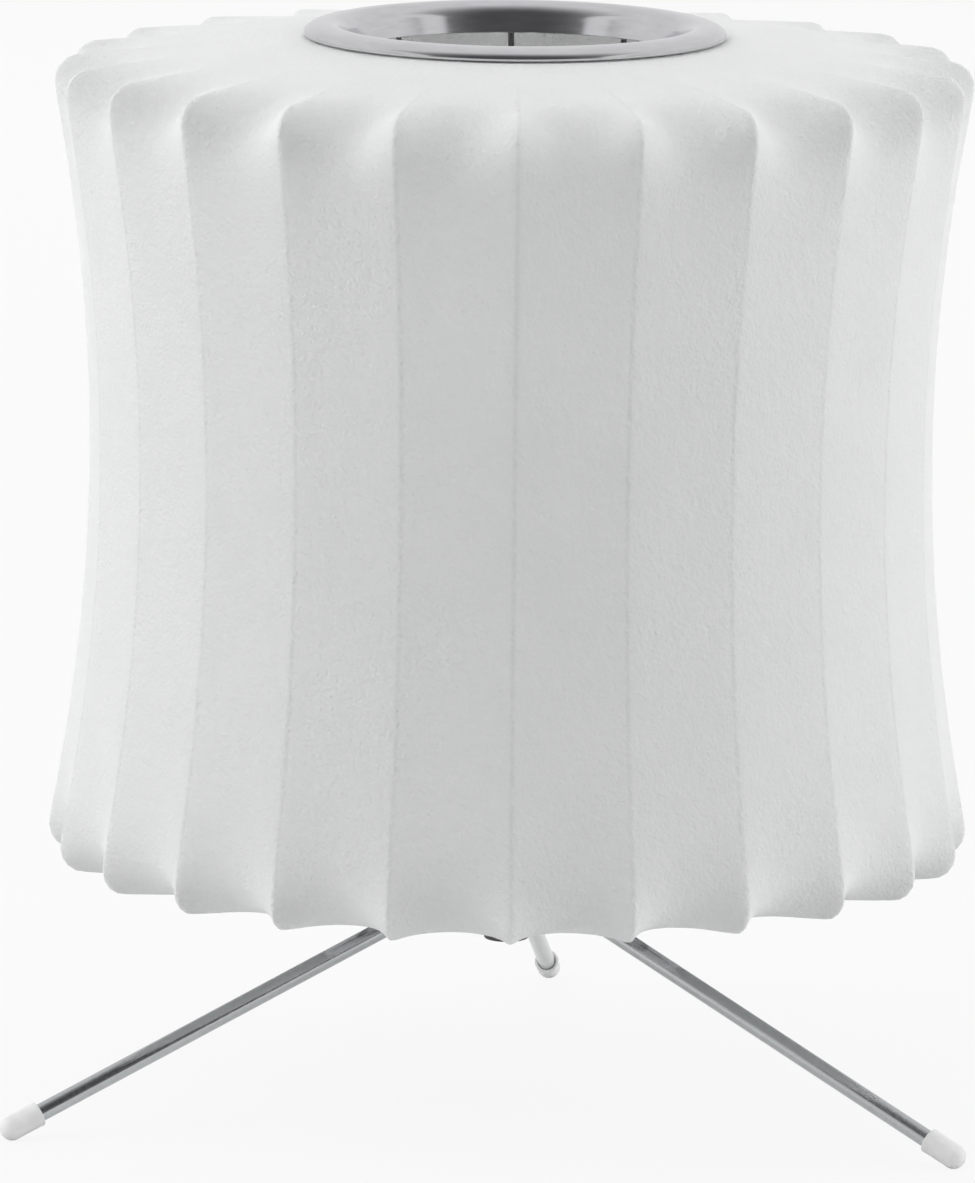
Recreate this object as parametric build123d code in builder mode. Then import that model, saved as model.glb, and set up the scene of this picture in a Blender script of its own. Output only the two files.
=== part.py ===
"""Table lamp on a rod tripod, under a fluted shade of stretched skin over wire ribs.

The frame has +Z up and its origin on the lamp's axis at floor level. Sizes are in millimetres.
"""

import os
from math import atan2, cos, radians, sin, tan

from build123d import *

# Tripod
rod_radius = 3.175
leg_count = 3
first_leg_azimuth = 85.0
leg_slope = 22.7
foot_circle_radius = 191.7
cap_wall = 1.275
cap_length = 15.5
cap_end = 3.4
cap_nose_radius = 2.4
cap_nose_length = 3.4
floor_flat = 0.4
fit_gap = 0.05

# Hub and the fittings on its axis
hub_across = 34.0
hub_faces = 6
hub_height = 21.0
hub_cover = 2.6
leg_end_radius = 8.0
nipple_radius = 5.0
nipple_bore = 3.6
nipple_grip = 8.0
nut_across = 17.0
nut_faces = 6
nut_height = 4.0
bushing_radius = 8.0
bushing_height = 5.0
bushing_bore = 3.2

# Carrier that the shade stands on
carrier_sheet = 2.0
carrier_arm_width = 12.0
carrier_disc_radius = 17.0
carrier_drop = 13.1
carrier_toe = 13.0
locating_gap = 1.0

# Shade
rib_count = 24
first_rib_azimuth = 0.4
shade_side_height = 284.7
top_corner_radius = 164.7
waist_radius = 149.6
bottom_corner_radius = 166.3
crown_rise = 8.4
corner_bevel = 8.0
skin = 0.8
skin_lap = 5.4
flute_depth = 7.5
flute_floor = 14.0
ridge_width = 3.2
wire = 2.2
wire_gap = 0.25

# Rings that close the shade's two ends
ring_bore = 57.6
ring_roll_width = 8.4
ring_flange_width = 8.4
ring_crest = 4.5
ring_edge = 0.7
ring_roll = 6.4
ring_wall = 4.4
ring_sheet = 1.0
seat_gap = 0.2

# Lampholder and bulb
holder_radius = 19.5
holder_height = 42.0
holder_floor = 13.0
shell_wall = 0.6
bulb_cap_radius = 13.2
bulb_cap_height = 26.0
bulb_thread_gap = 0.1
contact_width = 7.0
contact_height = 1.6
button_radius = 4.5
button_height = 2.4
bulb_radius = 13.0
bulb_length = 90.0
bulb_wall = 1.0
bulb_shoulder = 6.0

os.makedirs("parts", exist_ok=True)


def save(builder, name):
    """Label a finished sub-part and write it under its own name."""
    builder.part.label = name
    export_step(builder.part, f"parts/{name}.step")


# Radii of the rings, and of the skin's edges under them
ring_crest_radius = ring_bore + ring_roll_width
ring_outer_radius = ring_crest_radius + ring_flange_width
skin_seat_radius = ring_outer_radius - skin_lap

# Heights, from the floor up
cap_radius = rod_radius + fit_gap + cap_wall
foot_z = cap_radius * cos(radians(leg_slope)) - floor_flat
apex_z = foot_z + foot_circle_radius * tan(radians(leg_slope))
hub_top = apex_z + hub_cover
hub_bottom = hub_top - hub_height
carrier_top = hub_top + carrier_sheet
toe_top = hub_top - carrier_drop + carrier_sheet
bottom_seat_z = toe_top + seat_gap + ring_crest
bottom_corner_z = bottom_seat_z + crown_rise
top_corner_z = bottom_corner_z + shade_side_height
top_seat_z = top_corner_z + crown_rise
middle_z = (top_seat_z + bottom_seat_z) / 2
holder_seat = carrier_top + holder_floor

# Legs and the soft caps on their feet
leg_length = foot_circle_radius / cos(radians(leg_slope))
leg_start = leg_end_radius / cos(radians(leg_slope))
leg_azimuths = [first_leg_azimuth + i * 360 / leg_count for i in range(leg_count)]


def leg_plane(azimuth, distance):
    """Plane square to a leg, at a distance down its line from the lamp's axis, facing the foot."""
    outward = Vector(cos(radians(leg_slope)), 0, -sin(radians(leg_slope))).rotate(Axis.Z, azimuth)
    return Plane(origin=Vector(0, 0, apex_z) + outward * distance, z_dir=outward)


for number, azimuth in enumerate(leg_azimuths, start=1):
    with BuildPart() as leg:
        with BuildSketch(leg_plane(azimuth, leg_start)):
            Circle(rod_radius)
        extrude(amount=leg_length - cap_end - leg_start)
    save(leg, f"leg_{number}")

with BuildPart() as foot_caps:
    for azimuth in leg_azimuths:
        foot = leg_plane(azimuth, leg_length)
        with BuildSketch(Plane(origin=foot.origin, x_dir=foot.x_dir, z_dir=-foot.y_dir)):
            with BuildLine():
                Polyline(
                    (0, cap_nose_length),
                    (cap_nose_radius, cap_nose_length),
                    (cap_radius, 0),
                    (cap_radius, cap_nose_length - cap_length),
                    (0, cap_nose_length - cap_length),
                    close=True,
                )
            make_face()
        revolve(axis=Axis(foot.origin, foot.z_dir))
    for azimuth in leg_azimuths:
        with BuildSketch(leg_plane(azimuth, leg_length - cap_end + fit_gap)):
            Circle(rod_radius + fit_gap)
        extrude(amount=-cap_length, mode=Mode.SUBTRACT)
    split(bisect_by=Plane.XY, keep=Keep.TOP)
save(foot_caps, "foot_caps")

# Six-sided hub, with a blind hole for a leg in every other side
with BuildPart() as hub:
    with BuildSketch(Plane.XY.offset(hub_bottom)):
        hub_turn = first_leg_azimuth - 180 / hub_faces
        RegularPolygon(hub_across / 2, hub_faces, major_radius=False, rotation=hub_turn)
    extrude(amount=hub_height)
    for azimuth in leg_azimuths:
        with BuildSketch(leg_plane(azimuth, leg_start - fit_gap)):
            Circle(rod_radius + fit_gap)
        extrude(amount=hub_across, mode=Mode.SUBTRACT)
    with BuildSketch(Plane.XY.offset(hub_bottom)):
        Circle(nipple_radius + fit_gap)
    extrude(amount=hub_height, mode=Mode.SUBTRACT)
save(hub, "hub")

# Hollow threaded nipple, the nut that clamps the stack on it, and the lead's bushing
nipple_bottom = hub_bottom - nut_height
with BuildPart() as nipple:
    with BuildSketch(Plane.XY.offset(nipple_bottom)):
        Circle(nipple_radius)
        Circle(nipple_bore, mode=Mode.SUBTRACT)
    extrude(amount=carrier_top + nipple_grip - nipple_bottom)
save(nipple, "nipple")

with BuildPart() as lock_nut:
    with BuildSketch(Plane.XY.offset(hub_bottom)):
        RegularPolygon(nut_across / 2, nut_faces, major_radius=False)
        Circle(nipple_radius + fit_gap, mode=Mode.SUBTRACT)
    extrude(amount=-nut_height)
save(lock_nut, "lock_nut")

with BuildPart() as lead_bushing:
    with BuildSketch(Plane.XY.offset(nipple_bottom)):
        Circle(bushing_radius)
        Circle(bushing_bore, mode=Mode.SUBTRACT)
    extrude(amount=-bushing_height)
save(lead_bushing, "lead_bushing")

# Three-armed carrier: each arm steps down inside the shade's lower ring and turns out under it
step_radius = ring_bore - locating_gap
with BuildPart() as carrier:
    with BuildSketch(Plane.XY.offset(hub_top)):
        Circle(carrier_disc_radius)
    extrude(amount=carrier_sheet)
    for azimuth in leg_azimuths:
        arm_plane = Plane.XZ.rotated((0, 0, azimuth + 180 / leg_count))
        with BuildSketch(arm_plane):
            with BuildLine():
                Polyline(
                    (0, hub_top),
                    (step_radius - carrier_sheet, hub_top),
                    (step_radius - carrier_sheet, toe_top - carrier_sheet),
                    (step_radius + carrier_toe, toe_top - carrier_sheet),
                    (step_radius + carrier_toe, toe_top),
                    (step_radius, toe_top),
                    (step_radius, carrier_top),
                    (0, carrier_top),
                    close=True,
                )
            make_face()
        extrude(amount=carrier_arm_width / 2, both=True)
    with BuildSketch(Plane.XY.offset(hub_top)):
        Circle(nipple_radius + fit_gap)
    extrude(amount=carrier_sheet, mode=Mode.SUBTRACT)
save(carrier, "carrier")

# Lampholder: body, screw shell and centre contact
shell_radius = bulb_cap_radius + bulb_thread_gap + shell_wall
with BuildPart() as lampholder_body:
    with BuildSketch(Plane.XY.offset(carrier_top)):
        Circle(holder_radius)
    extrude(amount=holder_height)
    with BuildSketch(Plane.XY.offset(holder_seat)):
        Circle(shell_radius + fit_gap)
    extrude(amount=holder_height, mode=Mode.SUBTRACT)
    with BuildSketch(Plane.XY.offset(carrier_top)):
        Circle(nipple_radius + fit_gap)
    extrude(amount=holder_floor, mode=Mode.SUBTRACT)
save(lampholder_body, "lampholder_body")

with BuildPart() as screw_shell:
    with BuildSketch(Plane.XY.offset(holder_seat)):
        Circle(shell_radius)
        Circle(shell_radius - shell_wall, mode=Mode.SUBTRACT)
    extrude(amount=holder_height - holder_floor)
save(screw_shell, "screw_shell")

with BuildPart() as centre_contact:
    with BuildSketch(Plane.XY.offset(holder_seat)):
        Rectangle(2 * contact_width, contact_width)
    extrude(amount=contact_height)
save(centre_contact, "centre_contact")

# Bulb: screw cap with its contact button, and glass
button_bottom = holder_seat + contact_height + fit_gap
cap_bottom = button_bottom + button_height
glass_bottom = cap_bottom + bulb_cap_height
with BuildPart() as bulb_cap:
    with BuildSketch(Plane.XY.offset(cap_bottom)):
        Circle(bulb_cap_radius)
    extrude(amount=bulb_cap_height)
    with BuildSketch(Plane.XY.offset(button_bottom)):
        Circle(button_radius)
    extrude(amount=button_height)
save(bulb_cap, "bulb_cap")

with BuildPart() as bulb_glass:
    with BuildSketch(Plane.XY.offset(glass_bottom)):
        Circle(bulb_radius)
    extrude(amount=bulb_length)
    chamfer(bulb_glass.faces().sort_by(Axis.Z)[-1].edges(), bulb_shoulder)
    with BuildSketch(Plane.XY.offset(glass_bottom)):
        Circle(bulb_radius - bulb_wall)
    extrude(amount=bulb_length - bulb_shoulder - bulb_wall, mode=Mode.SUBTRACT)
save(bulb_glass, "bulb_glass")

# Ring at the top of the shade, and the same ring turned over at the bottom
crest_z = top_seat_z + ring_crest
roll_z = crest_z - ring_roll
seat_z = top_seat_z + seat_gap
with BuildPart() as top_ring:
    with BuildSketch(Plane.XZ):
        with BuildLine():
            Polyline(
                (ring_outer_radius, seat_z),
                (ring_outer_radius, seat_z + ring_edge),
                (ring_crest_radius, crest_z),
                (ring_bore, roll_z),
                (ring_bore, roll_z - ring_wall),
                (ring_bore + ring_sheet, roll_z - ring_wall),
                (ring_bore + ring_sheet, roll_z),
                (ring_crest_radius - ring_sheet, seat_z),
                close=True,
            )
        make_face()
    revolve(axis=Axis.Z)
save(top_ring, "top_ring")

with BuildPart() as bottom_ring:
    mirror(top_ring.part, about=Plane.XY.offset(middle_z))
save(bottom_ring, "bottom_ring")

# Shade: one wire rib at each corner of a many-sided drum, and a skin drawn in between the ribs
half_pitch = radians(180 / rib_count)


def shade_edges(stretch, inner_radius):
    """Crown, side and base of the shade in a plane through its axis, with radii times stretch."""
    over = skin_seat_radius - inner_radius
    top_z = top_seat_z + over * crown_rise / (top_corner_radius - skin_seat_radius)
    bottom_z = bottom_seat_z - over * crown_rise / (bottom_corner_radius - skin_seat_radius)
    crown = Line((inner_radius * stretch, top_z), (top_corner_radius * stretch, top_corner_z))
    foot = (bottom_corner_radius * stretch, bottom_corner_z)
    side = ThreePointArc(crown @ 1, (waist_radius * stretch, middle_z), foot)
    base = Line(foot, (inner_radius * stretch, bottom_z))
    return crown, side, base


def shade_line(stretch, inner_radius, inset):
    """Outline of the shade with bevelled corners, set in from its outer face."""
    crown, side, base = shade_edges(stretch, inner_radius)
    along_side = corner_bevel / side.length
    with BuildLine(Plane.XZ) as outline:
        top = Polyline(crown @ 0, crown @ (1 - corner_bevel / crown.length), side @ along_side)
        wall = ThreePointArc(top @ 1, side @ 0.5, side @ (1 - along_side))
        Polyline(wall @ 1, base @ (corner_bevel / base.length), base @ 1)
        if inset:
            offset(amount=inset, side=Side.RIGHT, closed=False)
    return outline.line


def flute_plane(corner, towards_seat, along_side, inset):
    """Plane square to a flute over a corner, its origin on the flute's floor and its Y axis outward."""
    inward = (towards_seat.normalized() + along_side.normalized()).normalized()
    half_angle = radians(towards_seat.get_angle(along_side) / 2)
    floor = corner + inward * (corner_bevel * cos(half_angle) + flute_depth + inset)
    outward = Vector(-inward.X, 0, -inward.Y)
    return Plane(origin=(floor.X, 0, floor.Y), x_dir=(0, 1, 0), z_dir=Vector(0, 1, 0).cross(outward))


def panel_block(inset):
    """Solid between two ribs' planes, from the seat out to the skin, with its two flutes cut."""
    stretch = cos(half_pitch)
    crown, side, base = shade_edges(stretch, skin_seat_radius)
    line = shade_line(stretch, skin_seat_radius, inset)
    reach = 2 * bottom_corner_radius
    half_span = reach * tan(half_pitch)
    with BuildPart() as block:
        with BuildSketch(Plane.XZ):
            with BuildLine():
                add(line)
                Line(line @ 1, line @ 0)
            make_face()
        extrude(amount=bottom_corner_radius, both=True)
        corners = (
            (crown @ 1, (crown @ 0) - (crown @ 1), side % 0),
            (base @ 0, (base @ 1) - (base @ 0), -(side % 1)),
        )
        cutter = corner_bevel + flute_depth + skin
        for corner, towards_seat, along_side in corners:
            half_floor = flute_floor / 2
            run = (corner.X - corner_bevel) * tan(half_pitch) - ridge_width / 2 - half_floor
            slope = atan2(flute_depth, run)
            half_floor = half_floor + inset * tan(slope / 2)
            half_mouth = half_floor + cutter / tan(slope)
            with BuildSketch(flute_plane(corner, towards_seat, along_side, inset)):
                with BuildLine():
                    Polyline(
                        (-half_floor, 0),
                        (half_floor, 0),
                        (half_mouth, cutter),
                        (-half_mouth, cutter),
                        close=True,
                    )
                make_face()
            extrude(amount=bottom_corner_radius, both=True, mode=Mode.SUBTRACT)
        with BuildSketch(Plane.XY):
            with BuildLine():
                Polyline((0, 0), (reach, half_span), (reach, -half_span), close=True)
            make_face()
        extrude(amount=2 * top_seat_z, mode=Mode.INTERSECT)
    return block.part


with BuildPart() as panel:
    add(panel_block(0))
    add(panel_block(skin), mode=Mode.SUBTRACT)

with BuildPart() as shade_skin:
    with PolarLocations(0, rib_count, start_angle=first_rib_azimuth + 180 / rib_count):
        add(panel.part)
save(shade_skin, "shade_skin")

# Each rib runs in under the rings, up to the back of their rolled edges
back_radius = ring_crest_radius - ring_sheet
back_slope = (seat_z - roll_z) / (back_radius - ring_bore - ring_sheet)


def rib_end(corner_radius):
    """Radius where a rib that runs to a corner would meet the back of a ring's rolled edge."""
    slope = crown_rise / (corner_radius - skin_seat_radius)
    meeting = skin_seat_radius * slope + back_radius * back_slope - skin - wire_gap - seat_gap
    return meeting / (slope + back_slope)


rib_end_radius = max(rib_end(top_corner_radius), rib_end(bottom_corner_radius)) + wire_gap
wire_outside = shade_line(1, rib_end_radius, skin + wire_gap)
wire_inside = shade_line(1, rib_end_radius, skin + wire_gap + wire)
with BuildPart() as rib:
    with BuildSketch(Plane.XZ):
        with BuildLine():
            add(wire_outside)
            add(wire_inside)
            Line(wire_outside @ 0, wire_inside @ 0)
            Line(wire_outside @ 1, wire_inside @ 1)
        make_face()
    extrude(amount=wire / 2, both=True)

for number in range(rib_count):
    with BuildPart() as placed_rib:
        add(rib.part.rotate(Axis.Z, first_rib_azimuth + number * 360 / rib_count))
    save(placed_rib, f"rib_{number + 1:02d}")
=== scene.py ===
"""Tripod table lamp: sprayed film over wire ribs, plated rings, bright rod legs with soft foot caps."""

from math import acos, atan2, cos, hypot, pi, radians, sin, tan

import bpy
from mathutils import Matrix, Vector


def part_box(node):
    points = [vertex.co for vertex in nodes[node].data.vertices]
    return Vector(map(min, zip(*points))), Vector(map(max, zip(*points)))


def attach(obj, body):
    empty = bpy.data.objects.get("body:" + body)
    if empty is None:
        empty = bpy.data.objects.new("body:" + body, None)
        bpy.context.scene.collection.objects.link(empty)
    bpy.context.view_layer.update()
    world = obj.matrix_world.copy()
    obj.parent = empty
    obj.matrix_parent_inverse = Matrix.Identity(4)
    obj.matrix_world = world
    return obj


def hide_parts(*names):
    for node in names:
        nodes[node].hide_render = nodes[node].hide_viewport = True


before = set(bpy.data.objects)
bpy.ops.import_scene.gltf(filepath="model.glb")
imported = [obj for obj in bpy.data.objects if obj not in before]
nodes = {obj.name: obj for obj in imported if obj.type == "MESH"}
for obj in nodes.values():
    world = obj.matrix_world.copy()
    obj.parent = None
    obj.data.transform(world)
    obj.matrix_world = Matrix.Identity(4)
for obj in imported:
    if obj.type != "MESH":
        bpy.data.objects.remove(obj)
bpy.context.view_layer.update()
MM = 0.001

# Sizes shared by the pieces, in metres
rib_count = 24
rib_pitch = 2 * pi / rib_count
first_rib = radians(0.4)
seat_radius = 69.0 * MM
top_corner_radius = 164.7 * MM
waist_radius = 149.6 * MM
bottom_corner_radius = 166.3 * MM
crown_rise = 8.4 * MM
corner_round = 9.0 * MM
film_thickness = 0.6 * MM
wire_radius = 1.1 * MM
skin_low, skin_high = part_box("shade_skin")
bottom_seat_z = skin_low.z
top_seat_z = skin_high.z
top_corner_z = top_seat_z - crown_rise
bottom_corner_z = bottom_seat_z + crown_rise
middle_z = (top_seat_z + bottom_seat_z) / 2

rod_radius = 3.175 * MM
leg_azimuths = [radians(85.0 + 120 * i) for i in range(3)]
leg_slope = radians(22.7)
foot_circle_radius = 191.7 * MM
foot_z = 3.7514 * MM
apex_z = foot_z + foot_circle_radius * tan(leg_slope)
leg_length = foot_circle_radius / cos(leg_slope)
weld_gap = 0.002 * MM


def clear_selection():
    """Leave edit mode if need be, and select nothing."""
    if bpy.context.object and bpy.context.object.mode != "OBJECT":
        bpy.ops.object.mode_set(mode="OBJECT")
    bpy.ops.object.select_all(action="DESELECT")


def activate(piece):
    """Make a piece the only one selected."""
    clear_selection()
    piece.select_set(True)
    bpy.context.view_layer.objects.active = piece


def draw_line(name, points):
    """Draw a piece's outline by extruding one point along a row of points. It stays in edit mode."""
    clear_selection()
    bpy.ops.mesh.primitive_plane_add(size=MM)
    piece = bpy.context.object
    piece.name = piece.data.name = name
    points = [Vector(point) for point in points]
    bpy.ops.object.mode_set(mode="EDIT")
    bpy.ops.mesh.select_all(action="SELECT")
    bpy.ops.mesh.merge(type="CENTER")
    bpy.ops.transform.translate(value=points[0])
    for here, there in zip(points, points[1:]):
        bpy.ops.mesh.extrude_region_move(TRANSFORM_OT_translate={"value": there - here})
    bpy.ops.mesh.select_all(action="SELECT")
    bpy.ops.mesh.remove_doubles(threshold=weld_gap)
    return piece


def turn(steps, angle=2 * pi, centre=(0, 0, 0), axis=(0, 0, 1)):
    """Turn the outline in edit mode about an axis."""
    bpy.ops.mesh.select_all(action="SELECT")
    bpy.ops.mesh.spin(steps=steps, angle=angle, center=centre, axis=axis)
    bpy.ops.mesh.select_all(action="SELECT")
    bpy.ops.mesh.remove_doubles(threshold=weld_gap)
    bpy.ops.mesh.normals_make_consistent(inside=False)


def apply(piece, kind, **settings):
    """Add a modifier to a piece and apply it."""
    activate(piece)
    modifier = piece.modifiers.new(kind.lower(), kind)
    for name, value in settings.items():
        setattr(modifier, name, value)
    bpy.ops.object.modifier_apply(modifier=modifier.name)


def smooth(piece, angle=32):
    """Shade a piece smooth, apart from its sharper edges."""
    activate(piece)
    bpy.ops.object.shade_smooth_by_angle(angle=radians(angle))


def dress(piece, body, slot, material, *replaced):
    """Hang a finished piece on its body, in its material, in place of CAD nodes."""
    piece.data.materials.clear()
    piece.data.materials.append(material)
    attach(piece, body)
    if replaced:
        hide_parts(*replaced)


def arc(centre, radius_x, radius_y, start, stop, count):
    """Points along part of an ellipse in a plane through the axis, as radius and height."""
    turns = [radians(start + (stop - start) * i / count) for i in range(count + 1)]
    return [(centre[0] + radius_x * cos(a), centre[1] + radius_y * sin(a)) for a in turns]


def around(outline, azimuth=0.0):
    """Radius and height pairs as points in the upright plane at an azimuth."""
    return [(r * cos(azimuth), r * sin(azimuth), z) for r, z in outline]


def spread(points, step):
    """The same line with its points set evenly, about a step apart."""
    lengths = [hypot(b[0] - a[0], b[1] - a[1]) for a, b in zip(points, points[1:])]
    count = round(sum(lengths) / step)
    even = []
    for i in range(count + 1):
        left = sum(lengths) * i / count
        k = 0
        while k < len(lengths) - 1 and left > lengths[k]:
            left -= lengths[k]
            k += 1
        share = min(1.0, left / lengths[k])
        even.append(tuple(a + (b - a) * share for a, b in zip(points[k], points[k + 1])))
    return even


# Materials
def start_material(name):
    """A new material with its tree, its shader and its object coordinates."""
    material = bpy.data.materials.new(name)
    material.use_nodes = True
    tree = material.node_tree
    place = tree.nodes.new("ShaderNodeTexCoord").outputs["Object"]
    return material, tree, tree.nodes["Principled BSDF"], place


def math(tree, operation, first, second=None):
    """A math node on sockets or numbers; gives its output."""
    node = tree.nodes.new("ShaderNodeMath")
    node.operation = operation
    for socket, value in zip(node.inputs, (first, second)):
        if isinstance(value, (int, float)):
            socket.default_value = value
        elif value is not None:
            tree.links.new(value, socket)
    return node.outputs[0]


def noise(tree, place, scale, detail=2.0, roughness=0.5, stretch=None):
    """A noise pattern on object coordinates; gives its value output."""
    if stretch:
        mapping = tree.nodes.new("ShaderNodeMapping")
        mapping.inputs["Scale"].default_value = stretch
        tree.links.new(place, mapping.inputs["Vector"])
        place = mapping.outputs[0]
    node = tree.nodes.new("ShaderNodeTexNoise")
    node.inputs["Scale"].default_value = scale
    node.inputs["Detail"].default_value = detail
    node.inputs["Roughness"].default_value = roughness
    tree.links.new(place, node.inputs["Vector"])
    return node.outputs[0]


def ranged(tree, value, low, high, to_low, to_high):
    """Map a value from one range to another, smoothly and within limits."""
    node = tree.nodes.new("ShaderNodeMapRange")
    node.interpolation_type = "SMOOTHSTEP"
    for name, number in (("From Min", low), ("From Max", high), ("To Min", to_low), ("To Max", to_high)):
        node.inputs[name].default_value = number
    tree.links.new(value, node.inputs["Value"])
    return node.outputs["Result"]


def colours(tree, value, low, high):
    """A colour between two, by a value."""
    node = tree.nodes.new("ShaderNodeMix")
    node.data_type = "RGBA"
    tree.links.new(value, node.inputs["Factor"])
    for socket, colour in zip((node.inputs[6], node.inputs[7]), (low, high)):
        if isinstance(colour, tuple):
            socket.default_value = (*colour, 1.0)
        else:
            tree.links.new(colour, socket)
    return node.outputs[2]


def bump(tree, height, distance, strength=1.0, normal=None):
    """A bump from a height; gives the normal."""
    node = tree.nodes.new("ShaderNodeBump")
    node.inputs["Strength"].default_value = strength
    node.inputs["Distance"].default_value = distance
    tree.links.new(height, node.inputs["Height"])
    if normal is not None:
        tree.links.new(normal, node.inputs["Normal"])
    return node.outputs[0]


def film_material():
    """Sprayed film: fine stipple, a few specks, and a soft darker line with small nodules along each rib;
    the line is partly the wire showing through the film and partly painted shade along the ridge.
    """
    shaded, lit = (0.825, 0.842, 0.836), (0.848, 0.862, 0.856)
    # Darker tone for the rib line: partly the wire seen through the film, partly painted shade along the
    # ridge.
    rib_wire_and_shade_tone = (0.77, 0.785, 0.78)
    speck_tone = (0.52, 0.52, 0.51)
    material, tree, shader, place = start_material("sprayed_film")
    split = tree.nodes.new("ShaderNodeSeparateXYZ")
    tree.links.new(place, split.inputs[0])
    azimuth = math(tree, "ARCTAN2", split.outputs["Y"], split.outputs["X"])
    share = math(tree, "DIVIDE", math(tree, "SUBTRACT", azimuth, first_rib), rib_pitch)
    from_middle = math(tree, "ABSOLUTE", math(tree, "SUBTRACT", math(tree, "FRACT", share), 0.5))
    radius = math(tree, "POWER", math(tree, "ADD", math(tree, "POWER", split.outputs["X"], 2.0),
                                      math(tree, "POWER", split.outputs["Y"], 2.0)), 0.5)
    away = ranged(tree, radius, 100 * MM, 150 * MM, 0.0, 1.0)
    on_rib = math(tree, "MULTIPLY", away, ranged(tree, from_middle, 0.465, 0.497, 0.0, 1.0))
    cloud = noise(tree, place, 28.0, 3.0)
    tone = colours(tree, ranged(tree, cloud, 0.3, 0.7, 0.0, 1.0), shaded, lit)
    # Painted shade along each rib ridge, with the wire showing through, fading out towards the rings.
    line = math(tree, "MULTIPLY", on_rib, ranged(tree, noise(tree, place, 240.0), 0.3, 0.7, 0.35, 1.0))
    tone = colours(tree, line, tone, rib_wire_and_shade_tone)
    spots = tree.nodes.new("ShaderNodeTexVoronoi")
    spots.inputs["Scale"].default_value = 45.0
    tree.links.new(place, spots.inputs["Vector"])
    chosen = math(tree, "GREATER_THAN", spots.outputs["Color"], 0.62)
    speck = math(tree, "MULTIPLY", chosen, ranged(tree, spots.outputs["Distance"], 0.012, 0.024, 1.0, 0.0))
    tree.links.new(colours(tree, speck, tone, speck_tone), shader.inputs["Base Color"])
    stipple = noise(tree, place, 760.0, 3.0, 0.6)
    dimple = noise(tree, place, 260.0, 2.0)
    grains = ranged(tree, noise(tree, place, 520.0, 1.0), 0.4, 0.75, 0.0, 1.0)
    nodules = math(tree, "MULTIPLY", on_rib, grains)
    normal = bump(tree, stipple, 0.75 * MM)
    normal = bump(tree, dimple, 0.75 * MM, 0.8, normal)
    tree.links.new(bump(tree, nodules, 0.16 * MM, 1.0, normal), shader.inputs["Normal"])
    tree.links.new(ranged(tree, stipple, 0.3, 0.7, 0.52, 0.66), shader.inputs["Roughness"])
    shader.inputs["Specular IOR Level"].default_value = 0.25
    shader.inputs["Subsurface Weight"].default_value = 0.85
    shader.inputs["Subsurface Radius"].default_value = (1.0, 1.0, 1.0)
    shader.inputs["Subsurface Scale"].default_value = 3.0 * MM
    return material


def plated_material(name, colour, dull, stretch=None, scale=90.0):
    """Bright plating with faint wipe marks."""
    material, tree, shader, place = start_material(name)
    marks = noise(tree, place, scale, 4.0, 0.6, stretch)
    darker = tuple(0.9 * channel for channel in colour)
    tone = colours(tree, ranged(tree, marks, 0.25, 0.75, 0.0, 1.0), darker, colour)
    tree.links.new(tone, shader.inputs["Base Color"])
    tree.links.new(ranged(tree, marks, 0.25, 0.75, dull * 0.7, dull * 1.4), shader.inputs["Roughness"])
    tree.links.new(bump(tree, marks, 0.01 * MM, 0.4), shader.inputs["Normal"])
    shader.inputs["Metallic"].default_value = 1.0
    return material


def plain_material(name, low, high, dull, scale=120.0, depth=0.05, metal=0.0, stretch=None):
    """A plain finish with a little unevenness in colour, gloss and surface."""
    material, tree, shader, place = start_material(name)
    marks = noise(tree, place, scale, 4.0, 0.6, stretch)
    tone = colours(tree, ranged(tree, marks, 0.3, 0.7, 0.0, 1.0), low, high)
    tree.links.new(tone, shader.inputs["Base Color"])
    tree.links.new(ranged(tree, marks, 0.25, 0.75, dull * 0.8, dull * 1.25), shader.inputs["Roughness"])
    tree.links.new(bump(tree, noise(tree, place, 9 * scale, 2.0), depth * MM, 0.6), shader.inputs["Normal"])
    shader.inputs["Metallic"].default_value = metal
    return material


film = film_material()
ring_nickel = plated_material("ring_nickel", (0.69, 0.685, 0.70), 0.12, (1, 1, 6))
rod_nickel = plated_material("rod_nickel", (0.56, 0.58, 0.585), 0.17, None, 520.0)
wire_lacquer = plain_material("wire_lacquer", (0.60, 0.60, 0.60), (0.68, 0.68, 0.675), 0.4)
cap_vinyl = plain_material("cap_vinyl", (0.71, 0.715, 0.71), (0.77, 0.77, 0.765), 0.42, 160.0, 0.04)
hub_steel = plain_material(
    "hub_steel", (0.50, 0.50, 0.49), (0.60, 0.60, 0.59), 0.28, 60.0, 0.02, 1.0, (1, 1, 12)
)
carrier_lacquer = plain_material("carrier_lacquer", (0.66, 0.66, 0.65), (0.73, 0.73, 0.72), 0.38)
brass = plain_material("fitting_brass", (0.55, 0.40, 0.17), (0.70, 0.54, 0.26), 0.25, 90.0, 0.02, 1.0)
bushing_black = plain_material("bushing_black", (0.04, 0.04, 0.04), (0.07, 0.07, 0.07), 0.45)
porcelain = plain_material("holder_glaze", (0.80, 0.79, 0.75), (0.86, 0.85, 0.81), 0.12, 50.0, 0.03)
bulb_metal = plain_material("bulb_metal", (0.66, 0.66, 0.65), (0.76, 0.76, 0.75), 0.22, 90.0, 0.02, 1.0)
bulb_white = plain_material("bulb_frost", (0.80, 0.80, 0.79), (0.86, 0.86, 0.85), 0.32, 200.0, 0.02)


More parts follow.
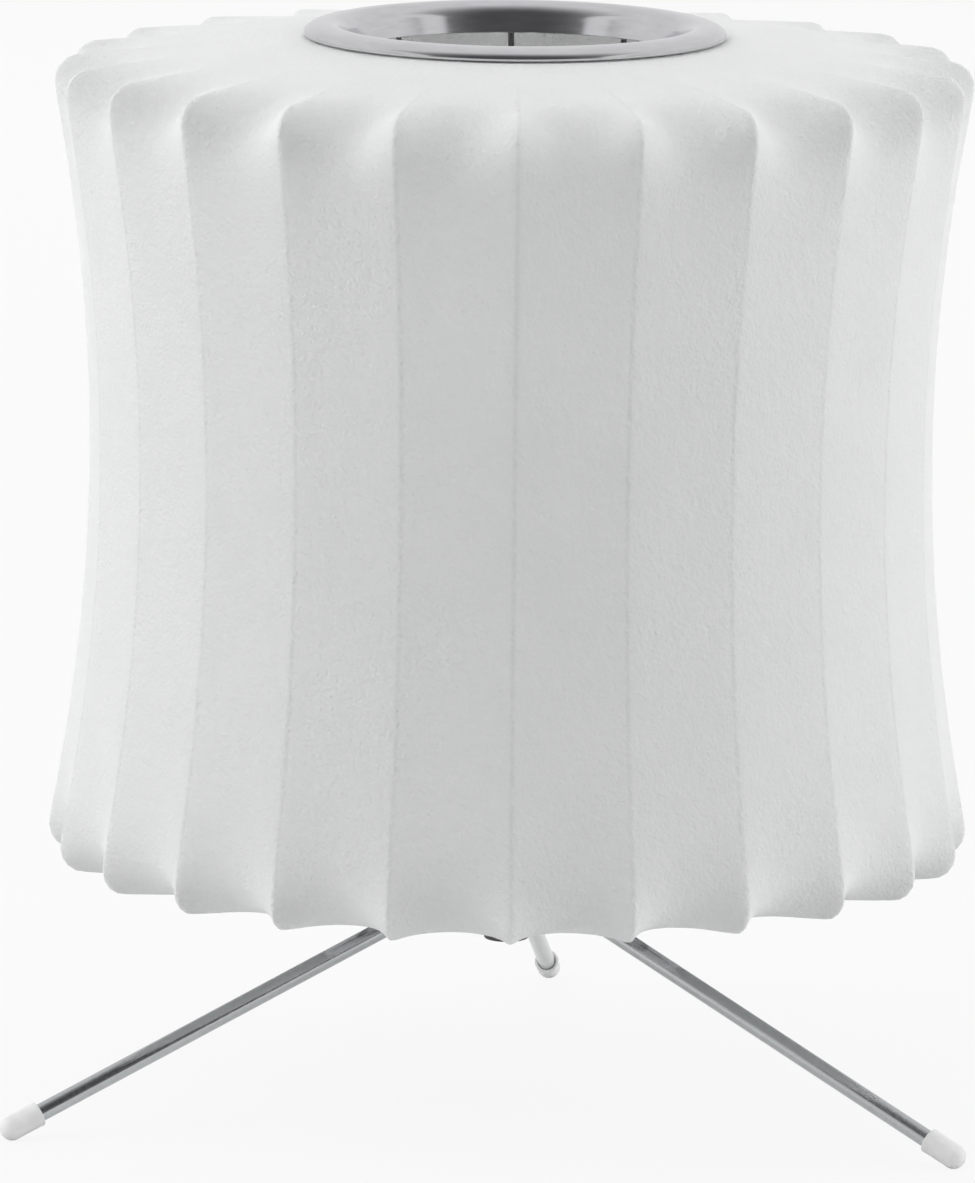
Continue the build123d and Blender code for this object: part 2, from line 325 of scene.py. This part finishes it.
# Film over the ribs
def rib_line(inset=0.0, end_radius=seat_radius):
    """The rib's outline in a plane through the axis, corners rounded, set in from the film's face."""
    rise_top = crown_rise / (top_corner_radius - seat_radius)
    rise_bottom = crown_rise / (bottom_corner_radius - seat_radius)
    over = seat_radius - end_radius
    top_seat = Vector((end_radius, top_seat_z + over * rise_top))
    bottom_seat = Vector((end_radius, bottom_seat_z - over * rise_bottom))
    top = Vector((top_corner_radius, top_corner_z))
    bottom = Vector((bottom_corner_radius, bottom_corner_z))
    waist = Vector((waist_radius, middle_z))
    side = side_arc(top, waist, bottom)
    line = [top_seat, *side, bottom_seat]
    line = rounded(line, 1, corner_round)
    line = rounded(line, len(line) - 2, corner_round)
    if inset:
        line = set_in(line, inset)
    return [tuple(point) for point in line]


def side_arc(top, waist, bottom, count=120):
    """Points on the circle through three points."""
    (ax, ay), (bx, by), (cx, cy) = top, waist, bottom
    d = 2 * (ax * (by - cy) + bx * (cy - ay) + cx * (ay - by))
    a2, b2, c2 = (p.length_squared for p in (top, waist, bottom))
    centre = Vector((
        (a2 * (by - cy) + b2 * (cy - ay) + c2 * (ay - by)) / d,
        (a2 * (cx - bx) + b2 * (ax - cx) + c2 * (bx - ax)) / d,
    ))
    start = atan2(top.y - centre.y, top.x - centre.x)
    stop = atan2(bottom.y - centre.y, bottom.x - centre.x)
    if stop < start:
        stop += 2 * pi
    radius = (top - centre).length
    turns = [start + (stop - start) * i / count for i in range(count + 1)]
    return [centre + radius * Vector((cos(a), sin(a))) for a in turns]


def rounded(line, k, radius, count=12):
    """A line with the corner at one of its points rounded to a radius."""
    corner = line[k]
    back = (line[k - 1] - corner).normalized()
    on = (line[k + 1] - corner).normalized()
    half = acos(max(-1.0, min(1.0, back.dot(on)))) / 2
    reach = radius / tan(half)
    before = [p for p in line[:k] if (p - corner).length > reach]
    after = [p for p in line[k + 1:] if (p - corner).length > reach]
    centre = corner + (back + on).normalized() * (radius / sin(half))
    first = corner + back * reach - centre
    last = corner + on * reach - centre
    whole = first.angle_signed(last)
    bend = [centre + Matrix.Rotation(-whole * i / count, 2) @ first for i in range(count + 1)]
    return before + bend + after


def set_in(line, inset):
    """A line moved to its inner side."""
    moved = []
    for k, point in enumerate(line):
        along = (line[min(k + 1, len(line) - 1)] - line[max(k - 1, 0)]).normalized()
        moved.append(point + inset * Vector((along.y, -along.x)))
    return moved


def draw_in(panel):
    """Draw the middle of the panel in a little more at its top shoulder."""
    depth = 3.2 * MM
    reach = 20.0 * MM
    middle = []
    for vertex in panel.data.vertices:
        share = (atan2(vertex.co.y, vertex.co.x) - first_rib) / rib_pitch % 1
        if abs(share - 0.5) < 0.03:
            middle.append(vertex)
    shoulder = max(middle, key=lambda vertex: hypot(vertex.co.x, vertex.co.y) + vertex.co.z)
    outward = Vector((shoulder.co.x, shoulder.co.y, hypot(shoulder.co.x, shoulder.co.y)))
    inward = -1.0 if shoulder.normal.dot(outward) > 0 else 1.0
    dimple = panel.vertex_groups.new(name="dimple")
    for vertex in panel.data.vertices:
        near = 1 - (vertex.co - shoulder.co).length / reach
        if near > 0:
            dimple.add([vertex.index], near * near * (3 - 2 * near), "REPLACE")
    apply(panel, "DISPLACE", strength=inward * depth, mid_level=0.0, vertex_group="dimple")


def make_film():
    """One panel between two ribs, relaxed like stretched film, then repeated round the shade."""
    row_step = 3.6 * MM
    columns = 12
    relaxing_passes = 1500
    ridge_width = 1.2 * MM
    line = spread(rib_line(), row_step)
    panel = draw_line("shade_film", around(line, first_rib))
    turn(columns, rib_pitch)
    bpy.ops.object.mode_set(mode="OBJECT")
    ends = (line[0], line[-1])

    def is_free(place):
        share = (atan2(place.y, place.x) - first_rib) / rib_pitch % 1
        radius = hypot(place.x, place.y)
        seated = any(hypot(radius - r, place.z - z) < 0.2 * MM for r, z in ends)
        return 0.02 < share < 0.98 and not seated

    free = panel.vertex_groups.new(name="free")
    free.add([v.index for v in panel.data.vertices if is_free(v.co)], 1.0, "REPLACE")
    apply(panel, "SMOOTH", factor=1.0, iterations=relaxing_passes, vertex_group="free")
    draw_in(panel)
    panel.vertex_groups.clear()
    bpy.ops.object.mode_set(mode="EDIT")
    bpy.ops.mesh.select_all(action="SELECT")
    bpy.ops.mesh.spin(steps=rib_count, dupli=True, angle=2 * pi, center=(0, 0, 0), axis=(0, 0, 1))
    bpy.ops.mesh.select_all(action="SELECT")
    bpy.ops.mesh.remove_doubles(threshold=0.05 * MM)
    bpy.ops.mesh.normals_make_consistent(inside=False)
    bpy.ops.mesh.select_all(action="DESELECT")
    bpy.ops.object.mode_set(mode="OBJECT")
    on_rib = []
    for vertex in panel.data.vertices:
        share = (atan2(vertex.co.y, vertex.co.x) - first_rib) / rib_pitch
        on_rib.append(abs(share - round(share)) < 0.02)
    for edge in panel.data.edges:
        edge.select = all(on_rib[v] for v in edge.vertices)
    bpy.ops.object.mode_set(mode="EDIT")
    bpy.ops.mesh.select_mode(type="EDGE")
    bpy.ops.mesh.bevel(offset=ridge_width, segments=2, profile=0.5, affect="EDGES", clamp_overlap=True)
    bpy.ops.mesh.select_mode(type="VERT")
    bpy.ops.object.mode_set(mode="OBJECT")
    apply(panel, "SOLIDIFY", thickness=film_thickness, offset=-1.0, use_even_offset=True)
    smooth(panel, 60)
    dress(panel, "shade", "film", film, "shade_skin")


def make_wires():
    """One bent wire under the film, copied to every rib."""
    end_radius = 64.0 * MM
    film_gap = 0.35 * MM
    wire_step = 5.0 * MM
    inset = film_thickness + film_gap + wire_radius
    line = spread(rib_line(inset, end_radius), wire_step)
    wire = draw_line("rib_wire_01", around(line, first_rib))
    bpy.ops.object.mode_set(mode="OBJECT")
    bpy.ops.object.convert(target="CURVE")
    wire.data.bevel_depth = wire_radius
    wire.data.bevel_resolution = 2
    wire.data.use_fill_caps = True
    bpy.ops.object.convert(target="MESH")
    wire = bpy.context.object
    smooth(wire, 50)
    wires = [wire]
    for k in range(1, rib_count):
        twin = wire.copy()
        twin.data = wire.data.copy()
        twin.name = twin.data.name = f"rib_wire_{k + 1:02d}"
        twin.data.transform(Matrix.Rotation(k * rib_pitch, 4, "Z"))
        bpy.context.scene.collection.objects.link(twin)
        wires.append(twin)
    for k, piece in enumerate(wires, start=1):
        dress(piece, "shade", "rib_wire", wire_lacquer, f"rib_{k:02d}")


def make_rings():
    """The plated ring on top, spun from its section, and its twin turned over at the bottom."""
    low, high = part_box("top_ring")
    outer = high.x
    bore = 57.6 * MM
    crest = 66.0 * MM
    sheet = 1.0 * MM
    seat = top_seat_z + 0.2 * MM
    roll_low = high.z - 6.4 * MM
    flange = arc((crest, seat + 0.75 * MM), outer - crest, high.z - seat - 0.75 * MM, 4, 90, 14)
    throat = 7.05 * MM
    roll = arc((crest, roll_low), throat, high.z - roll_low, 90, 165, 18)
    back = arc((crest, roll_low), throat - sheet, high.z - roll_low - sheet, 163, 118, 10)
    section = [
        (outer - 0.35 * MM, seat), (outer - 0.08 * MM, seat + 0.1 * MM), (outer, seat + 0.35 * MM),
        *flange, *roll[1:],
        (bore, low.z + 0.3 * MM), (bore + 0.15 * MM, low.z + 0.06 * MM), (bore + 0.35 * MM, low.z),
        (bore + 0.7 * MM, low.z), (bore + 0.94 * MM, low.z + 0.1 * MM), (bore + sheet, low.z + 0.35 * MM),
        *back, (crest - sheet, seat),
    ]
    ring = draw_line("ring_top", around(section + section[:1]))
    turn(160)
    bpy.ops.object.mode_set(mode="OBJECT")
    smooth(ring, 40)
    twin = ring.copy()
    twin.data = ring.data.copy()
    twin.name = twin.data.name = "ring_bottom"
    bpy.context.scene.collection.objects.link(twin)
    activate(twin)
    bpy.ops.object.mode_set(mode="EDIT")
    bpy.ops.mesh.select_all(action="SELECT")
    bpy.ops.transform.resize(value=(1, 1, -1), center_override=(0, 0, middle_z))
    bpy.ops.mesh.normals_make_consistent(inside=False)
    bpy.ops.object.mode_set(mode="OBJECT")
    dress(ring, "shade", "bright_nickel", ring_nickel, "top_ring")
    dress(twin, "shade", "bright_nickel", ring_nickel, "bottom_ring")


# Legs and feet
def leg_line(azimuth):
    """Where a leg's line meets the axis, its direction down and out, and the upward one square to it."""
    out = Vector((cos(azimuth), sin(azimuth), 0))
    down = out * cos(leg_slope) - Vector((0, 0, sin(leg_slope)))
    up = out * sin(leg_slope) + Vector((0, 0, cos(leg_slope)))
    return Vector((0, 0, apex_z)), down, up


def make_legs():
    """Bright rods with eased ends."""
    hub_reach = 8.0 * MM
    cap_end = 3.4 * MM
    ease = 0.5 * MM
    steps = 10
    start = hub_reach / cos(leg_slope)
    stop = leg_length - cap_end
    straight = stop - start - 2 * ease
    for k, azimuth in enumerate(leg_azimuths, start=1):
        apex, down, up = leg_line(azimuth)
        section = [(0, start), (rod_radius - ease, start), (rod_radius, start + ease)]
        section += [(rod_radius, start + ease + straight * i / steps) for i in range(1, steps)]
        section += [(rod_radius, stop - ease), (rod_radius - ease, stop), (0, stop)]
        rod = draw_line(f"leg_rod_{k}", [apex + up * r + down * s for r, s in section])
        turn(48, centre=apex, axis=down)
        bpy.ops.object.mode_set(mode="OBJECT")
        smooth(rod, 40)
        dress(rod, "stand", "bright_nickel", rod_nickel, f"leg_{k}")


def make_caps():
    """Soft caps over the feet, with a rolled lip, a domed nose and a flat worn where each one stands."""
    radius = 4.5 * MM
    inner = rod_radius + 0.03 * MM
    mouth = leg_length - 12.1 * MM
    nose = leg_length + 3.4 * MM
    pocket = leg_length - 3.2 * MM
    body_radius = radius - 0.12 * MM
    dome_height = 4.2 * MM
    caps = []
    for k, azimuth in enumerate(leg_azimuths, start=1):
        apex, down, up = leg_line(azimuth)
        dome = arc((0, nose - dome_height), body_radius, dome_height, 0, 90, 12)
        section = [(inner, mouth + 2.5 * MM), (inner, mouth + 0.3 * MM), (inner + 0.3 * MM, mouth)]
        section += [(radius - 0.35 * MM, mouth), (radius - 0.1 * MM, mouth + 0.12 * MM)]
        section += [(radius, mouth + 0.4 * MM), (radius, mouth + 1.1 * MM)]
        section += [(radius - 0.1 * MM, mouth + 1.5 * MM), (body_radius, mouth + 5 * MM)]
        section += dome
        section += [(0, pocket), (inner, pocket), section[0]]
        cap = draw_line(f"foot_cap_{k}", [apex + up * r + down * s for r, s in section])
        turn(48, centre=apex, axis=down)
        bpy.ops.mesh.select_all(action="SELECT")
        bpy.ops.mesh.bisect(
            plane_co=(0, 0, 0), plane_no=(0, 0, -1), use_fill=True, clear_outer=True, threshold=0.0001 * MM
        )
        bpy.ops.object.mode_set(mode="OBJECT")
        smooth(cap, 38)
        caps.append(cap)
    for cap in caps:
        dress(cap, "stand", "white_vinyl", cap_vinyl)
    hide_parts("foot_caps")


# Fittings under the shade
def eased_copy(node, name, width):
    """A copy of a fitting with its triangles joined and its edges eased."""
    piece = bpy.data.objects.new(name, nodes[node].data.copy())
    piece.data.name = name
    bpy.context.scene.collection.objects.link(piece)
    activate(piece)
    bpy.ops.object.mode_set(mode="EDIT")
    bpy.ops.mesh.select_all(action="SELECT")
    bpy.ops.mesh.remove_doubles(threshold=weld_gap)
    bpy.ops.mesh.dissolve_limited(angle_limit=radians(0.6))
    bpy.ops.object.mode_set(mode="OBJECT")
    if width:
        apply(piece, "BEVEL", width=width, segments=2, limit_method="ANGLE", angle_limit=radians(30))
    smooth(piece, 32)
    return piece


def make_fittings():
    """Hub, carrier, nipple, nut, bushing and the holder's metal, with eased edges."""
    fittings = (
        ("hub", "hub_block", 0.6 * MM, "hub_steel", hub_steel),
        ("carrier", "carrier_plate", 0.35 * MM, "carrier_steel", carrier_lacquer),
        ("nipple", "threaded_nipple", 0.2 * MM, "fitting_brass", brass),
        ("lock_nut", "nipple_nut", 0.4 * MM, "fitting_brass", brass),
        ("lead_bushing", "lead_bush", 0.8 * MM, "bushing_plastic", bushing_black),
        ("screw_shell", "holder_thread", 0.0, "fitting_brass", brass),
        ("centre_contact", "holder_contact", 0.25 * MM, "fitting_brass", brass),
    )
    for node, name, width, slot, material in fittings:
        dress(eased_copy(node, name, width), "stand", slot, material, node)


def make_holder():
    """Glazed lampholder, turned hollow, with two grooves round it and softly glazed rims."""
    low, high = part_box("lampholder_body")
    radius = high.x
    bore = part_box("screw_shell")[1].x + 0.05 * MM
    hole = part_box("nipple")[1].x + 0.05 * MM
    floor = low.z + 13.0 * MM
    foot_round = 1.8 * MM
    rim_round = 2.2 * MM
    section = [(hole, floor), (hole, low.z + 0.4 * MM), (hole + 0.4 * MM, low.z)]
    section += arc((radius - foot_round, low.z + foot_round), foot_round, foot_round, -90, 0, 6)
    for groove in (low.z + 9.0 * MM, low.z + 12.5 * MM):
        section += [(radius, groove), (radius - 0.5 * MM, groove + 0.25 * MM)]
        section += [(radius - 0.8 * MM, groove + 0.8 * MM)]
        section += [(radius - 0.5 * MM, groove + 1.35 * MM), (radius, groove + 1.6 * MM)]
    section += arc((radius - rim_round, high.z - rim_round), rim_round, rim_round, 0, 90, 7)
    section += [(bore + 1.0 * MM, high.z), (bore + 0.3 * MM, high.z - 0.3 * MM), (bore, high.z - 1.0 * MM)]
    section += [(bore, floor), section[0]]
    holder = draw_line("holder_shell", around(section))
    turn(72)
    bpy.ops.object.mode_set(mode="OBJECT")
    smooth(holder, 38)
    dress(holder, "stand", "holder_porcelain", porcelain, "lampholder_body")


def make_bulb():
    """Tubular bulb: screw cap with its contact, and frosted glass with a domed end."""
    cap = eased_copy("bulb_cap", "bulb_base", 0.8 * MM)
    dress(cap, "bulb", "bulb_metal", bulb_metal, "bulb_cap")
    low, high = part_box("bulb_glass")
    radius = high.x
    dome_height = 11.0 * MM
    dome = arc((0, high.z - dome_height), radius, dome_height, 0, 90, 14)
    section = [(0, low.z), (radius - 1.2 * MM, low.z)]
    section += [(radius - 0.4 * MM, low.z + 1.2 * MM), (radius, low.z + 4 * MM), *dome]
    glass = draw_line("bulb_tube", around(section))
    turn(64)
    bpy.ops.object.mode_set(mode="OBJECT")
    smooth(glass, 40)
    dress(glass, "bulb", "bulb_glass", bulb_white, "bulb_glass")


# Stage
def make_floor():
    """A wide pale floor that shows the camera and the metal a light ground, and keeps a faint shadow."""
    clear_selection()
    bpy.ops.mesh.primitive_plane_add(size=80.0, location=(0, 0, -0.3 * MM))
    floor = bpy.context.object
    floor.name = "pale_floor"
    material = bpy.data.materials.new("pale_floor")
    material.use_nodes = True
    tree = material.node_tree
    shader = tree.nodes["Principled BSDF"]
    shader.inputs["Base Color"].default_value = (0.78, 0.78, 0.78, 1.0)
    shader.inputs["Roughness"].default_value = 0.9
    shader.inputs["Specular IOR Level"].default_value = 0.0
    rays = tree.nodes.new("ShaderNodeLightPath")
    glow = tree.nodes.new("ShaderNodeEmission")
    glow.inputs["Color"].default_value = (0.962, 0.962, 0.962, 1.0)
    glow.inputs["Strength"].default_value = 1.0
    mirrored = math(tree, "MAXIMUM", rays.outputs["Is Glossy Ray"], rays.outputs["Is Transmission Ray"])
    other = math(tree, "MULTIPLY", mirrored, 0.3)
    seen = math(tree, "MAXIMUM", math(tree, "MULTIPLY", rays.outputs["Is Camera Ray"], 0.92), other)
    mix = tree.nodes.new("ShaderNodeMixShader")
    tree.links.new(seen, mix.inputs[0])
    tree.links.new(shader.outputs[0], mix.inputs[1])
    tree.links.new(glow.outputs[0], mix.inputs[2])
    tree.links.new(mix.outputs[0], tree.nodes["Material Output"].inputs["Surface"])
    floor.data.materials.append(material)


def make_world():
    """Even studio light from all round. Bright metal sees pale walls with a darker opening at the front."""
    world = bpy.data.worlds.new("studio")
    bpy.context.scene.world = world
    world.use_nodes = True
    tree = world.node_tree
    room = tree.nodes["Background"]
    room.inputs["Color"].default_value = (1.0, 1.0, 1.0, 1.0)
    room.inputs["Strength"].default_value = 0.56
    walls = tree.nodes.new("ShaderNodeBackground")
    place = tree.nodes.new("ShaderNodeTexCoord").outputs["Generated"]
    split = tree.nodes.new("ShaderNodeSeparateXYZ")
    tree.links.new(place, split.inputs[0])
    lean = math(tree, "SUBTRACT", split.outputs["Y"], math(tree, "MULTIPLY", split.outputs["Z"], 0.55))
    wall = ranged(tree, lean, -1.1, -0.1, 0.0, 1.0)
    side = math(tree, "ABSOLUTE", split.outputs["X"])
    near_edge = ranged(tree, side, 0.68, 0.76, 0.0, 1.0)
    far_edge = ranged(tree, side, 0.87, 0.93, 1.0, 0.3)
    window = math(tree, "MULTIPLY", near_edge, far_edge)
    bright = math(tree, "MAXIMUM", wall, window)
    tree.links.new(colours(tree, bright, (0.09, 0.09, 0.095), (0.80, 0.80, 0.81)), walls.inputs["Color"])
    pale = tree.nodes.new("ShaderNodeBackground")
    pale.inputs["Color"].default_value = (0.955, 0.955, 0.955, 1.0)
    rays = tree.nodes.new("ShaderNodeLightPath")
    shown = math(tree, "MAXIMUM", rays.outputs["Is Glossy Ray"], rays.outputs["Is Transmission Ray"])
    for seen, ground in ((shown, walls), (rays.outputs["Is Camera Ray"], pale)):
        mix = tree.nodes.new("ShaderNodeMixShader")
        tree.links.new(seen, mix.inputs[0])
        tree.links.new(room.outputs[0], mix.inputs[1])
        tree.links.new(ground.outputs[0], mix.inputs[2])
        room = mix
    tree.links.new(room.outputs[0], tree.nodes["World Output"].inputs["Surface"])


def softbox(name, place, target, width, height, power):
    """A large soft lamp that isn't seen itself."""
    lamp = bpy.data.lights.new(name, "AREA")
    lamp.shape = "RECTANGLE"
    lamp.size = width
    lamp.size_y = height
    lamp.energy = power
    rig = bpy.data.objects.new(name, lamp)
    rig.location = place
    rig.rotation_mode = "QUATERNION"
    rig.rotation_quaternion = (Vector(target) - Vector(place)).to_track_quat("-Z", "Y")
    rig.visible_camera = False
    rig.visible_glossy = False
    bpy.context.scene.collection.objects.link(rig)


def make_camera():
    """Long lens from the front, a little above the lamp."""
    sensor = 36.0
    focal_pixels = 10000.0
    frame_pixels = 1183
    pitch = 0.18051
    roll = 0.0097
    lens = bpy.data.cameras.new("view")
    lens.sensor_fit = "AUTO"
    lens.sensor_width = sensor
    lens.lens = sensor * focal_pixels / frame_pixels
    lens.clip_end = 200.0
    view = bpy.data.objects.new("view", lens)
    view.rotation_mode = "QUATERNION"
    aim = Matrix.Rotation(pi / 2 - pitch, 3, "X") @ Matrix.Rotation(roll, 3, "Z")
    view.location = (-0.00787, -3.5, 0.82122)
    view.rotation_quaternion = aim.to_quaternion()
    bpy.context.scene.collection.objects.link(view)
    bpy.context.scene.camera = view


make_film()
make_wires()
make_rings()
make_legs()
make_caps()
make_fittings()
make_holder()
make_bulb()
make_floor()
make_world()
softbox("left_box", (-2.8, -0.5, 1.1), (0, 0, 0.2), 2.4, 2.2, 29.5)
softbox("right_box", (2.8, -0.5, 1.1), (0, 0, 0.2), 2.4, 2.2, 44.5)
softbox("high_box", (-2.0, -0.8, 2.4), (0, 0, 0.2), 1.6, 1.6, 24.0)
softbox("top_box", (0, 0.3, 3.0), (0, 0, 0.2), 2.6, 2.6, 12.5)
softbox("back_box", (0, 3.0, 1.6), (0, 0, 0.2), 2.6, 2.0, 28.0)
make_camera()
bpy.context.scene.view_settings.view_transform = "Standard"
